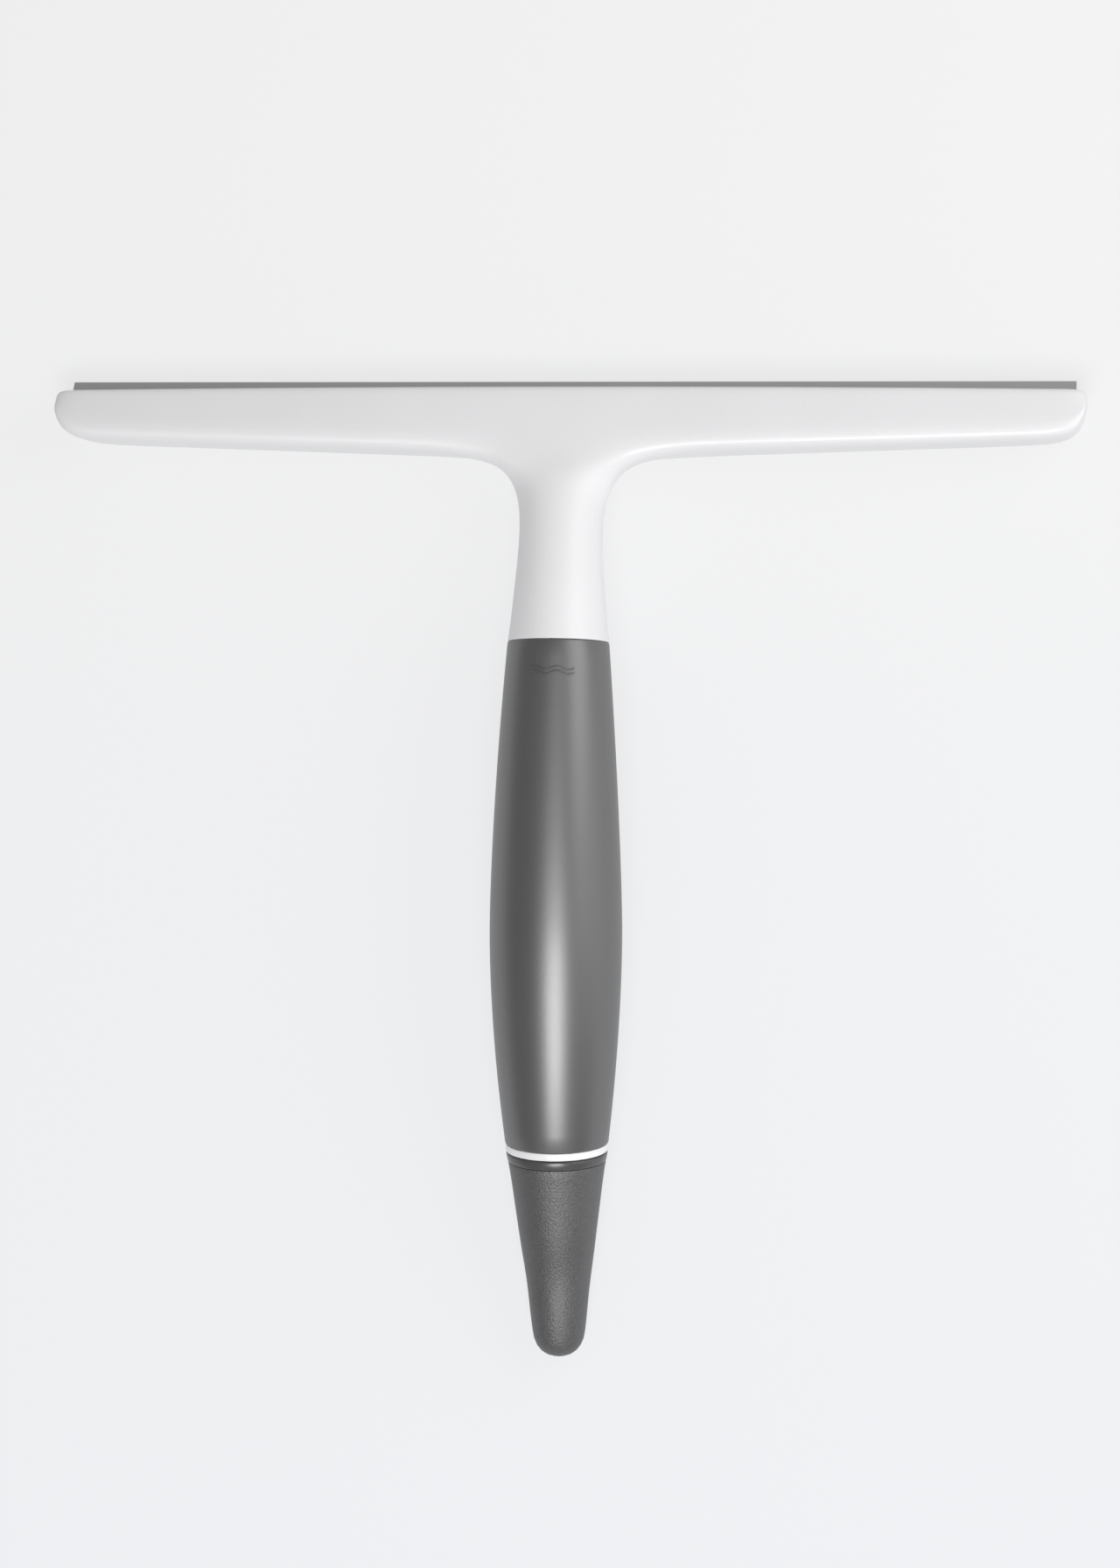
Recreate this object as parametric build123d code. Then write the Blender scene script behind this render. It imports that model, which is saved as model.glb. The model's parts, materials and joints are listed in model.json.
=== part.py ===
from build123d import *
import os
from math import atan2, cos, radians, sin

# Window cleaning squeegee, millimetres. It lies on its back on a table:
# +X along the head, +Y along the handle towards the blade, +Z up, away from the table.
# The origin is the middle of the footprint, at the table.

# ---- rubber blade and the rail that holds it ----------------------------------------------------
blade_length = 254.0          # 10 inches
blade_reveal = 2.0            # rubber past the head's top edge, seen from the front
blade_tilt = 35.0             # degrees that the rubber leans back towards the glass
lip_length = 6.8              # from the flexing neck to the wiping edge
lip_root_thick = 2.0
lip_edge_thick = 1.5
edge_height = 2.6             # wiping edge above the table
bead_radius = 2.2             # round root of the rubber
web_thick = 1.5               # web from the bead to the flexing neck
web_gap = 0.3                 # free gap at the flexing neck
rail_wall = 1.3
rail_mouth_gap = 0.3          # each side of the web
bead_clearance = 0.05
clip_length = 6.0             # metal clip that grips the bead at each end of the rail
rail_short = 9.0              # rail, clips and bead stop this far inside the rubber's ends

# ---- head ---------------------------------------------------------------------------------------
head_width = 259.0
head_height = 17.8            # top edge to lower edge, beside the neck
head_end_rise = 4.4           # how much higher the lower edge is at the ends
head_crown = 0.8              # how much higher the top edge is in the middle
head_depth_top = 15.0         # front face above the table, at the top edge
head_depth_low = 20.0         # front face above the table, at the lower edge
head_top_corner = 2.2
head_end_corner = 10.4
cavity_corner = 5.0
head_low_round = 6.0          # front lower edge of the arms
head_lip_round = 1.6          # front top edge
head_back_round = 2.0
head_wall = 2.4
plan_margin = 0.1             # keeps the arms' faces clear of the plan that trims them
hood_drop = 4.2               # thickness of the hood over the rubber, at the top edge
cheek = 2.2                   # end walls beside the rubber
swing_back = 3.0              # room behind the flexing rubber, past the rail's back
neck_flare = 13.5             # radius between the arms and the neck
flare_drop = 1.0              # how far the flare's front stands behind the arms'
flare_back = 7.0              # back of the flare above the table, at the neck

# ---- back cover, its screws, and the ribs that hold the rail -------------------------------------
cover_thick = 2.0
cover_gap = 0.15
cover_top_gap = 0.9           # cover's top edge short of the rail's outer corner
rib_thick = 1.6
rib_pitch = 33.0              # ribs at whole steps, screws half way between them
ribs_each_side = 3
pad_offset = 8.0              # pads on the cover stand beside the ribs
screw_radius = 1.1
screw_head_radius = 1.9
screw_head_deep = 1.1
screw_length = 6.0
screw_sink = 0.2              # screw heads below the cover's face
screw_drive = (2.4, 0.5, 0.6)  # cross drive: width, slot and depth
boss_wall = 1.6
screw_clearance = 0.2

# ---- handle -------------------------------------------------------------------------------------
neck_length = 46.2            # along Y, grip to the head's lower edge
neck_root_height = 11.1       # neck's centre line above the table, inside the head
neck_end_radius = 12.3
neck_waist = (10.4, 9.4)      # half width and half depth at the narrowest place
neck_waist_at = 28.5          # from the grip
neck_dip = 0.3                # how much narrower than a straight taper half way to the waist
neck_root = (12.6, 8.8)       # half width and half depth inside the head
neck_in_head = 3.0
grip_length = 125.0           # along the bowed centre line
grip_bow = 600.0              # radius of the grip's centre line
grip_belly_radius = 16.5
grip_belly_at = 53.0          # from the ring
grip_power_low = 1.8          # how suddenly the belly falls off towards the ring
grip_power_top = 1.5          # and towards the neck
grip_top_radius = 12.65
sleeve_wall = 1.8
sleeve_fit = 0.04
core_wall = 1.85              # core's wall round the spigot
spigot_length = 30.0
spigot_gap = 0.1
core_start = 8.0
core_hollow = 8.0             # radius of the hollow between spigot and socket
pin_radius = 2.0
pin_at = 15.0                 # neck pin, below the top of the grip
pin_short = 0.3               # each end of the pin below the core's surface
gasket_thick = 0.6
gasket_inset = 0.25

# ---- ring, pole socket and screw-in tail ---------------------------------------------------------
tail_tilt = 8.5               # degrees that the tail's axis leans to the table
ring_length = 1.9
ring_inset = 0.1              # ring's surface below the grip's end
ring_lip = 0.5
parting = 0.3                 # between the ring and the tail
collar_length = 2.3
thread_radius = 9.4           # crest of the tail's thread, for a 3/4 inch pole socket
thread_gap = 0.35
plug_length = 24.0            # engaged length
plug_hollow = 5.5
plug_core_length = 34.0
flange_inset = 0.1            # plug's flange below the socket's outside
socket_wall = 1.25
socket_length = 42.0
socket_floor = 2.0
socket_gap = 0.1              # socket to the inside of the grip's end
socket_pin_radius = 1.5
socket_pin_at = 32.0
seal_section = 0.8            # radius of the seal ring's section
seal_at = 2.6
seal_running_gap = 0.03
seal_groove_gap = 0.1
tail_length = 49.0            # ring seat to the centre of the tip's ball
tail_inset = 0.65             # tail's top below the grip's end
tail_tip_radius = 6.3
tail_wall = 2.6
fit = 0.02                    # pressed and moulded-on pieces

# ---- worked out ---------------------------------------------------------------------------------
slope_low = radians(tail_tilt)
slope_top = slope_low - grip_length / grip_bow
grip_rise = grip_bow * (sin(slope_low) - sin(slope_top))
tail_reach = tail_length * cos(slope_low) + tail_tip_radius
overall = tail_reach + grip_rise + neck_length + head_height + blade_reveal
ring_y = tail_reach - overall / 2
ring_z = tail_length * sin(slope_low) + tail_tip_radius
grip_top_z = ring_z + grip_bow * (cos(slope_top) - cos(slope_low))
neck_reach = neck_length + neck_in_head
slope_root = -2 * atan2(grip_top_z - neck_root_height, neck_reach) - slope_top
neck_bow = neck_reach / (sin(slope_top) - sin(slope_root))
neck_arc = neck_bow * (slope_top - slope_root)
head_low_y = ring_y + grip_rise + neck_length
head_top_y = head_low_y + head_height
tip_y = head_top_y + blade_reveal
head_half = head_width / 2
collar_s = -ring_length - parting
tail_s = collar_s - collar_length
bore_radius = thread_radius + thread_gap
socket_radius = bore_radius + socket_wall
plug_flange_radius = socket_radius - flange_inset
grip_end_radius = socket_radius + sleeve_wall + socket_gap
ring_radius = grip_end_radius - ring_inset
tail_top_radius = grip_end_radius - tail_inset
spigot_radius = grip_top_radius - sleeve_wall - sleeve_fit - core_wall - spigot_gap
parts = {}


def spine(s):
    """Plane across the handle, s along its centre line from the ring seat towards the head."""
    if s <= 0:
        slope = slope_low
        y = ring_y + s * cos(slope)
        z = ring_z + s * sin(slope)
    elif s <= grip_length:
        slope = slope_low - s / grip_bow
        y = ring_y + grip_bow * (sin(slope_low) - sin(slope))
        z = ring_z + grip_bow * (cos(slope) - cos(slope_low))
    else:
        slope = slope_top - (s - grip_length) / neck_bow
        y = ring_y + grip_rise + neck_bow * (sin(slope_top) - sin(slope))
        z = grip_top_z + neck_bow * (cos(slope) - cos(slope_top))
    return Plane(origin=(0, y, z), x_dir=(1, 0, 0), z_dir=(0, cos(slope), sin(slope)))


def grip_radius(s):
    """Outer radius of the grip: a belly that falls off faster towards the ring."""
    if s < grip_belly_at:
        fall = (1 - s / grip_belly_at) ** grip_power_low
        return grip_belly_radius - (grip_belly_radius - grip_end_radius) * fall
    fall = ((s - grip_belly_at) / (grip_length - grip_belly_at)) ** grip_power_top
    return grip_belly_radius - (grip_belly_radius - grip_top_radius) * fall


def handle_form(start, end, inset):
    """The grip's form between two places on the centre line, smaller all round by inset."""
    steps = 9
    stations = [start + (end - start) * i / steps for i in range(steps + 1)]
    return loft([spine(s) * Circle(grip_radius(s) - inset) for s in stations])


def bar(plane, start, end, radius, end_radius=None):
    """Round or tapered bar along a plane's normal."""
    middle = plane * Pos(0, 0, (start + end) / 2)
    if end_radius is None:
        return middle * Cylinder(radius, end - start)
    return middle * Cone(radius, end_radius, end - start)


# ---- rubber blade: sections drawn with x to the wiping edge and y to the front --------------------
tilt = radians(blade_tilt)
rail_half = bead_radius + rail_wall
neck_at = rail_half + lip_root_thick / 2
blade_reach = neck_at + lip_length
half_edge = lip_edge_thick / 2
bead_y = tip_y - blade_reach * cos(tilt) - half_edge * sin(tilt)
bead_z = edge_height + blade_reach * sin(tilt) + half_edge * cos(tilt)
blade_cut = Plane(origin=(0, bead_y, bead_z), x_dir=(0, cos(tilt), -sin(tilt)), z_dir=(1, 0, 0))


def along_blade(sketch, length):
    return extrude(blade_cut * sketch, length / 2, both=True)


mouth = Pos(rail_half / 2 + 1, 0) * Rectangle(rail_half + 2, web_thick + 2 * rail_mouth_gap)
rail_sketch = Rectangle(2 * rail_half, 2 * rail_half) - Circle(bead_radius + bead_clearance) - mouth
clip_sketch = Rectangle(2 * rail_half, 2 * rail_half) - Circle(bead_radius + fit) - mouth
held_length = blade_length - 2 * rail_short
rail_length = held_length - 2 * (clip_length + fit)
parts["blade_rail"] = along_blade(rail_sketch, rail_length)
clip_x = (held_length - clip_length) / 2
clip = along_blade(clip_sketch, clip_length)
parts["blade_clip_left"] = Pos(-clip_x, 0, 0) * clip
parts["blade_clip_right"] = Pos(clip_x, 0, 0) * clip

root = lip_root_thick / 2
web_end = neck_at - root - web_gap
bead_sketch = Circle(bead_radius) + Pos(web_end / 2, 0) * Rectangle(web_end, web_thick)
parts["blade_bead"] = along_blade(bead_sketch, held_length)

lip_face = make_face(Polyline((0, root), (lip_length, half_edge), (lip_length, -half_edge), (0, -root),
                              close=True))
parts["blade_lip"] = along_blade(Pos(neck_at, 0) * (Circle(root) + lip_face), blade_length)


# ---- head ----------------------------------------------------------------------------------------
front_fall = (head_depth_low - head_depth_top) / head_height
waist_half = neck_waist[0]
stem_y = head_low_y - 1.2 * neck_flare
end_gap = head_half - cheek - blade_length / 2
throat_length = blade_length + 2 * end_gap


def low_edge(x):
    """Y of the arms' lower edge."""
    return head_low_y + head_end_rise * abs(x) / head_half


def front_z(y):
    """Height of the head's sloping front face."""
    return head_depth_low - (y - head_low_y) * front_fall


def arm_section(x, inset):
    """Section of the arms across the head, smaller by inset except at the open back."""
    low = low_edge(x) + inset
    high = head_top_y - inset + plan_margin
    back = -5 if inset else 0
    corners = [(low, back), (low, front_z(low) - inset), (high, front_z(high) - inset), (high, back)]
    face = make_face(Polyline(corners, close=True))
    for radius, corner in zip((head_back_round, head_low_round, head_lip_round), corners):
        spot = face.vertices().sort_by_distance((corner[0], corner[1], 0))[0]
        face = fillet(spot, max(radius - inset, 0.5))
    return Plane.YZ.offset(x) * face


def arm_plan(inset):
    """Plan of the arms: crowned top edge and rounded ends."""
    half = head_half - inset
    top_end = head_top_y - head_crown - inset
    low_end = low_edge(head_half) + inset - plan_margin
    top = ThreePointArc((-half, top_end), (0, head_top_y - inset), (half, top_end))
    rest = Polyline((half, top_end), (half, low_end), (0, head_low_y + inset - plan_margin), (-half, low_end),
                    (-half, top_end))
    face = make_face([top, rest])
    tops = face.vertices().filter_by(lambda v: v.Y > top_end - 1)
    face = fillet(tops, max(head_top_corner - inset, 0.5))
    ends = face.vertices().filter_by(lambda v: abs(v.Y - low_end) < 0.01)
    return fillet(ends, cavity_corner if inset else head_end_corner)


def arms(inset):
    form = loft([arm_section(x, inset) for x in (-head_half - 1, 0, head_half + 1)], ruled=True)
    return form & (Pos(0, 0, -10) * extrude(arm_plan(inset), 60))


def flare():
    """Web between the arms and the neck, with a round inner corner on each side."""
    corner_y = head_low_y - 0.3
    reach = waist_half + neck_flare
    high = head_low_y + neck_in_head
    face = make_face(Polyline((-reach - 2, high), (-reach - 2, corner_y), (-waist_half, corner_y),
                              (-waist_half, stem_y), (waist_half, stem_y), (waist_half, corner_y),
                              (reach + 2, corner_y), (reach + 2, high), close=True))
    roots = face.vertices().filter_by(lambda v: abs(v.Y - corner_y) < 0.01 and abs(v.X) < reach)
    face = fillet(roots, neck_flare)
    sides = [(stem_y, flare_back), (stem_y, front_z(stem_y) - flare_drop),
             (high, front_z(high) - flare_drop), (high, head_back_round)]
    side = Plane.YZ * make_face(Polyline(sides, close=True))
    return extrude(face, 60) & extrude(side, head_half, both=True)


def slab(low_y, high_y, low_z, high_z, width=head_width):
    """Block across the head."""
    middle = Pos(0, (low_y + high_y) / 2, (low_z + high_z) / 2)
    return middle * Box(width, high_y - low_y, high_z - low_z)


# the neck: round at the grip, oval at its waist, wider where it runs into the head
grip_top = spine(grip_length)
half_way = ((neck_end_radius + neck_waist[0]) / 2 - neck_dip, (neck_end_radius + neck_waist[1]) / 2)
neck = loft([grip_top.offset(gasket_thick) * Circle(neck_end_radius),
             spine(grip_length + neck_waist_at / 2) * Ellipse(*half_way),
             spine(grip_length + neck_waist_at) * Ellipse(*neck_waist),
             spine(grip_length + neck_arc) * Ellipse(*neck_root)])
spigot = bar(grip_top, -spigot_length, gasket_thick + 1, spigot_radius)
pin_place = grip_top * Pos(0, 0, -pin_at) * Rot(0, 90, 0)
pin_hole = pin_place * Cylinder(pin_radius + fit, 4 * grip_belly_radius)

rail_room = along_blade(Rectangle(2 * (rail_half + fit), 2 * (rail_half + fit)), held_length + 2 * end_gap)
hood_z = head_depth_top - hood_drop
throat = slab(head_top_y - 2 * head_wall, tip_y + 5, -5, hood_z, throat_length)
swing = Pos(rail_half + lip_length, -swing_back / 2) * Rectangle(2 * lip_length, 2 * rail_half + swing_back)
throat += along_blade(swing, throat_length)

rib_places = [i * rib_pitch for i in range(-ribs_each_side, ribs_each_side + 1)]
screw_places = [(i + 0.5) * rib_pitch for i in range(-ribs_each_side, ribs_each_side)]
screw_line = head_wall + cover_gap + screw_head_radius + screw_clearance
screw_spots = [Pos(x, low_edge(x) + screw_line, 0) for x in screw_places]
cavity = arms(head_wall)
rib = Pos(0, head_low_y + head_height / 2, cover_thick + 40) * Box(rib_thick, 2 * head_height, 80)
boss = Pos(0, 0, cover_thick + 40) * Cylinder(screw_radius + boss_wall, 80)
hollow = cavity - [Pos(x, 0, 0) * rib for x in rib_places] - [spot * boss for spot in screw_spots]

pilot = Pos(0, 0, (screw_length + 1) / 2) * Cylinder(screw_radius + fit, screw_length + 1)
shell = arms(0) + flare() + neck - hollow - throat - rail_room - [spot * pilot for spot in screw_spots]
parts["head_shell"] = shell + spigot - pin_hole

# back cover with pads that press on the rail
cover_top_y = bead_y + rail_half * (cos(tilt) - sin(tilt)) - cover_top_gap
cover_inset = head_wall + cover_gap
cover = extrude(arm_plan(cover_inset), cover_thick) & slab(0, cover_top_y, -cover_thick, 2 * cover_thick)
head_top = screw_sink + screw_head_deep
screw_hole = Cylinder(screw_radius + screw_clearance, 4 * cover_thick)
screw_hole += Cylinder(screw_head_radius + screw_clearance, 2 * head_top)
cover -= [spot * screw_hole for spot in screw_spots]
pad_low_y = low_edge(rib_places[-1] + pad_offset) + cover_inset
pad = slab(pad_low_y, cover_top_y, cover_thick / 2, bead_z, rib_thick) - rail_room
parts["back_cover"] = cover + [Pos(x + pad_offset, 0, 0) * pad for x in rib_places[1:-1]]

screw_head = Pos(0, 0, screw_sink + screw_head_deep / 2) * Cylinder(screw_head_radius, screw_head_deep)
screw = screw_head + Pos(0, 0, (head_top + screw_length) / 2) * Cylinder(screw_radius, screw_length - head_top)
drive_wide, drive_slot, drive_deep = screw_drive
cross = Box(drive_wide, drive_slot, 2 * drive_deep) + Box(drive_slot, drive_wide, 2 * drive_deep)
drive = Pos(0, 0, screw_sink) * cross
parts["cover_screws"] = Compound(children=[spot * (screw - drive) for spot in screw_spots])

# ---- handle core, grip and neck pieces -----------------------------------------------------------
ring_seat = spine(0)
socket_room = bar(ring_seat, -5, socket_length + fit, socket_radius + fit)
hollow_steps = [core_start, grip_length / 2, grip_length - spigot_length / 2]
core_hole = loft([spine(s) * Circle(core_hollow) for s in hollow_steps])
spigot_room = bar(grip_top, -spigot_length - fit, 5, spigot_radius + spigot_gap)
core = handle_form(-1, grip_length + 1, sleeve_wall + sleeve_fit)
core &= bar(spine(core_start), 0, 2 * grip_length, 4 * grip_belly_radius)
core &= bar(grip_top, -2 * grip_length, 0, 4 * grip_belly_radius)
core = core - socket_room - core_hole - spigot_room - pin_hole
socket_pin_place = ring_seat * Pos(0, 0, socket_pin_at) * Rot(0, 90, 0)
core_half = grip_radius(socket_pin_at) - sleeve_wall - sleeve_fit
pin_inner = bore_radius + fit
pin_middle = (pin_inner + core_half - pin_short) / 2
socket_pin = Cylinder(socket_pin_radius, core_half - pin_short - pin_inner)
socket_pin_hole = socket_pin_place * Cylinder(socket_pin_radius + fit, 4 * grip_belly_radius)
parts["handle_core"] = core - socket_pin_hole
parts["grip_sleeve"] = handle_form(0, grip_length, 0) - handle_form(-1, grip_length + 1, sleeve_wall)
pin_half = grip_radius(grip_length - pin_at) - sleeve_wall - pin_short
parts["neck_pin"] = pin_place * Cylinder(pin_radius, 2 * pin_half)
gasket = bar(grip_top, fit, gasket_thick - fit, neck_end_radius - gasket_inset)
parts["neck_gasket"] = gasket - bar(grip_top, -1, 2, spigot_radius + fit)

# ---- ring, pole socket and its pins --------------------------------------------------------------
socket_mouth = -ring_length + ring_lip
ring = bar(ring_seat, -ring_length, -fit, ring_radius)
ring -= bar(ring_seat, socket_mouth, 1, socket_radius + fit)
parts["accent_ring"] = ring - bar(ring_seat, -ring_length - 1, 1, bore_radius)
socket = bar(ring_seat, socket_mouth + fit, socket_length, socket_radius)
socket -= bar(ring_seat, -5, socket_length - socket_floor, bore_radius)
parts["pole_socket"] = socket - socket_pin_hole
parts["socket_pins"] = Compound(children=[socket_pin_place * Pos(0, 0, side * pin_middle) * socket_pin
                                          for side in (-1, 1)])

# ---- screw-in tail -------------------------------------------------------------------------------
seal_radius = bore_radius - seal_running_gap - seal_section
seal_place = ring_seat * Pos(0, 0, seal_at)
parts["seal_ring"] = seal_place * Torus(seal_radius, seal_section)
groove = bar(seal_place, -seal_section - seal_groove_gap, seal_section + seal_groove_gap, thread_radius + 1)
groove -= bar(seal_place, -2, 2, seal_radius - seal_section - seal_groove_gap)


def tail_radius(s):
    """Radius of the tail's cone; s is negative towards the tip."""
    share = (s - tail_s) / (-tail_length - tail_s)
    return tail_top_radius + (tail_tip_radius - tail_top_radius) * share


core_end = tail_s - plug_core_length
plug = bar(ring_seat, collar_s, plug_length, thread_radius) - groove
plug += bar(ring_seat, tail_s, collar_s, plug_flange_radius)
plug += bar(ring_seat, core_end, tail_s, tail_radius(core_end) - tail_wall, tail_radius(tail_s) - tail_wall)
parts["tail_plug"] = plug - bar(ring_seat, tail_s, plug_length + 1, plug_hollow)
collar = bar(ring_seat, tail_s + fit, collar_s, tail_top_radius + 0.1, ring_radius - 0.1)
parts["tail_collar"] = collar - bar(ring_seat, tail_s - 1, collar_s + 1, plug_flange_radius + fit)
tail = bar(ring_seat, -tail_length, tail_s, tail_tip_radius, tail_top_radius)
tail += ring_seat * Pos(0, 0, -tail_length) * Sphere(tail_tip_radius)
core_room = bar(ring_seat, core_end - fit, tail_s, tail_radius(core_end) - tail_wall + fit,
                tail_radius(tail_s) - tail_wall + fit)
parts["tail_grip"] = tail - core_room

os.makedirs("parts", exist_ok=True)
for name, shape in parts.items():
    shape.label = name
    export_step(shape, f"parts/{name}.step")
print("overall", round(overall, 2), "head", round(head_low_y, 2), round(head_top_y, 2))
print("ring seat", round(ring_y, 3), round(ring_z, 3))
hinge = blade_cut * Pos(neck_at, 0, 0)
print("lip hinge", hinge.position)
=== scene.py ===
import json
import math
import bmesh
import bpy
from mathutils import Euler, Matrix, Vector


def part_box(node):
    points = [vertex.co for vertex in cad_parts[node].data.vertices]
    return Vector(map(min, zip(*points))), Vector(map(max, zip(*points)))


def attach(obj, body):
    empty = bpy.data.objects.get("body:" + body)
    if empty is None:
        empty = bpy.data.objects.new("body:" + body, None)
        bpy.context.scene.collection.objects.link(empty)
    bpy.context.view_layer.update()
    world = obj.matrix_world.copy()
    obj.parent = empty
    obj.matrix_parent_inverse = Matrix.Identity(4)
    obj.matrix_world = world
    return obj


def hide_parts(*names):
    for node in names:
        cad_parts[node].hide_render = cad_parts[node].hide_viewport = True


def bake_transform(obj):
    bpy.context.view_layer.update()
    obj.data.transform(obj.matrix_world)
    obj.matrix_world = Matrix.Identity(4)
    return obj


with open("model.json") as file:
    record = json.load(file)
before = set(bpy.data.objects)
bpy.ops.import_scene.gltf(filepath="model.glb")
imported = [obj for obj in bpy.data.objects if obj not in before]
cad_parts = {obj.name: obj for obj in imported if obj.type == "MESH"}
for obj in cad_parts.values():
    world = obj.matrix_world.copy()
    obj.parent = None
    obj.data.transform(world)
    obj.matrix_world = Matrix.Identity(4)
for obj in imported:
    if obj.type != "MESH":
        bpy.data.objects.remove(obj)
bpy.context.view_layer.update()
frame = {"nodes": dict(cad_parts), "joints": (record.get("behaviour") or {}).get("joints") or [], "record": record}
mm = 0.001
turn = {joint["name"]: joint for joint in frame["joints"]}


def middle(node):
    low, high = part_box(node)
    return (low + high) / 2


# the handle's centre line starts at the ring and follows the tail's own axis
seat = Vector(turn["tail_turn"]["pos_m"])
out = Vector(turn["tail_turn"]["axis"])
if out.y > 0:
    out = -out
spine = {"gripLength": 125.0, "gripBow": 600.0, "neckBow": 248.9}
leanLow = math.atan2(-out.z, -out.y)
leanTop = leanLow - spine["gripLength"] / spine["gripBow"]


def lean(s):
    # slope of the centre line, s in millimetres from the ring towards the head
    if s <= 0:
        return leanLow
    if s <= spine["gripLength"]:
        return leanLow - s / spine["gripBow"]
    return leanTop - (s - spine["gripLength"]) / spine["neckBow"]


def along(s):
    start, bow, at, slope = seat, spine["gripBow"], leanLow, lean(s)
    if s <= 0:
        return seat - out * s * mm
    if s > spine["gripLength"]:
        start, bow, at = along(spine["gripLength"]), spine["neckBow"], leanTop
    step = (0, math.sin(at) - math.sin(slope), math.cos(slope) - math.cos(at))
    return start + Vector(step) * bow * mm


def dropSelection():
    bpy.ops.object.select_all(action="DESELECT")


def only(piece):
    dropSelection()
    piece.select_set(True)
    bpy.context.view_layer.objects.active = piece


def edit(piece):
    only(piece)
    bpy.ops.object.mode_set(mode="EDIT")


def leave():
    bpy.ops.object.mode_set(mode="OBJECT")


def settle(piece, name):
    piece.name = name
    piece.data.name = name
    bpy.ops.object.transform_apply(location=True, rotation=True, scale=True)


def pick(piece, kind, test):
    # selects vertices, edges or faces by place; a rim edge has a face that stands upright
    bpy.ops.mesh.select_all(action="DESELECT")
    bpy.ops.mesh.select_mode(type="EDGE" if kind == "RIM" else kind)
    shape = bmesh.from_edit_mesh(piece.data)
    shape.normal_update()
    if kind == "VERT":
        found = [v for v in shape.verts if test(v.co)]
    elif kind == "EDGE":
        found = [e for e in shape.edges if all(test(v.co) for v in e.verts)]
    elif kind == "RIM":
        found = [e for e in shape.edges if all(test(v.co) for v in e.verts)
                 and any(abs(f.normal.z) < 0.5 for f in e.link_faces)]
    else:
        found = [f for f in shape.faces if test(f.calc_center_median())]
    for item in found:
        item.select_set(True)
    shape.select_flush_mode()
    bmesh.update_edit_mesh(piece.data)
    return len(found)


def push(step):
    bpy.ops.mesh.extrude_region_move(TRANSFORM_OT_translate={"value": step})


def scaleAbout(centre, factors):
    bpy.ops.transform.resize(value=factors, center_override=centre)


def tip(centre, angle):
    # with no window the turn runs the other way
    bpy.ops.transform.rotate(value=-angle, orient_axis="X", center_override=centre)


def ringChain(name, rings, sides, close="ends"):
    # rings are (place, lean, half width, half depth) in metres; each grows from the one before
    dropSelection()
    place, slope, wide, deep = rings[0]
    bpy.ops.mesh.primitive_circle_add(vertices=sides, radius=wide, location=place,
                                      rotation=(slope - math.pi / 2, 0, 0))
    piece = bpy.context.object
    piece.scale = (1, deep / wide, 1)
    settle(piece, name)
    edit(piece)
    bpy.ops.mesh.select_all(action="SELECT")
    if close == "ends":
        bpy.ops.mesh.edge_face_add()
        bpy.ops.mesh.poke()
        pick(piece, "EDGE", lambda co: (co - place).length > min(wide, deep) / 2)
    for before, ring in zip(rings, rings[1:]):
        push(ring[0] - before[0])
        tip(ring[0], -before[1])
        scaleAbout(ring[0], (ring[2] / before[2], 1, ring[3] / before[3]))
        tip(ring[0], ring[1])
    if close == "ends":
        bpy.ops.mesh.edge_face_add()
        bpy.ops.mesh.poke()
    bpy.ops.mesh.select_all(action="SELECT")
    if close == "loop":
        bpy.ops.mesh.remove_doubles(threshold=1e-6)
    bpy.ops.mesh.normals_make_consistent(inside=False)
    leave()
    return piece


def smooth(piece, degrees=35):
    only(piece)
    bpy.ops.object.shade_smooth_by_angle(angle=math.radians(degrees))


def apply(piece, kind, **settings):
    only(piece)
    modifier = piece.modifiers.new(kind.title(), kind)
    for key, value in settings.items():
        setattr(modifier, key, value)
    bpy.ops.object.modifier_apply(modifier=modifier.name)


def box(name, low, high):
    dropSelection()
    low, high = Vector(low), Vector(high)
    bpy.ops.mesh.primitive_cube_add(size=1, location=(low + high) / 2, scale=high - low)
    piece = bpy.context.object
    settle(piece, name)
    return piece


def cut(piece, cutter):
    apply(piece, "BOOLEAN", operation="DIFFERENCE", solver="EXACT", object=cutter)
    bpy.data.objects.remove(cutter)


def lined(s, radius):
    return along(s), lean(s), radius * mm, radius * mm


# finishes: two close tones, uneven gloss and a fine skin on every surface
class Wire:
    def __init__(self, finish, socket):
        self.finish = finish
        self.socket = socket

    def maths(self, operation, first, second):
        return self.finish.add("ShaderNodeMath", {"operation": operation}, {0: first, 1: second})

    def __add__(self, other):
        return self.maths("ADD", self, other)

    def __sub__(self, other):
        return self.maths("SUBTRACT", self, other)

    def __mul__(self, other):
        return self.maths("MULTIPLY", self, other)


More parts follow.
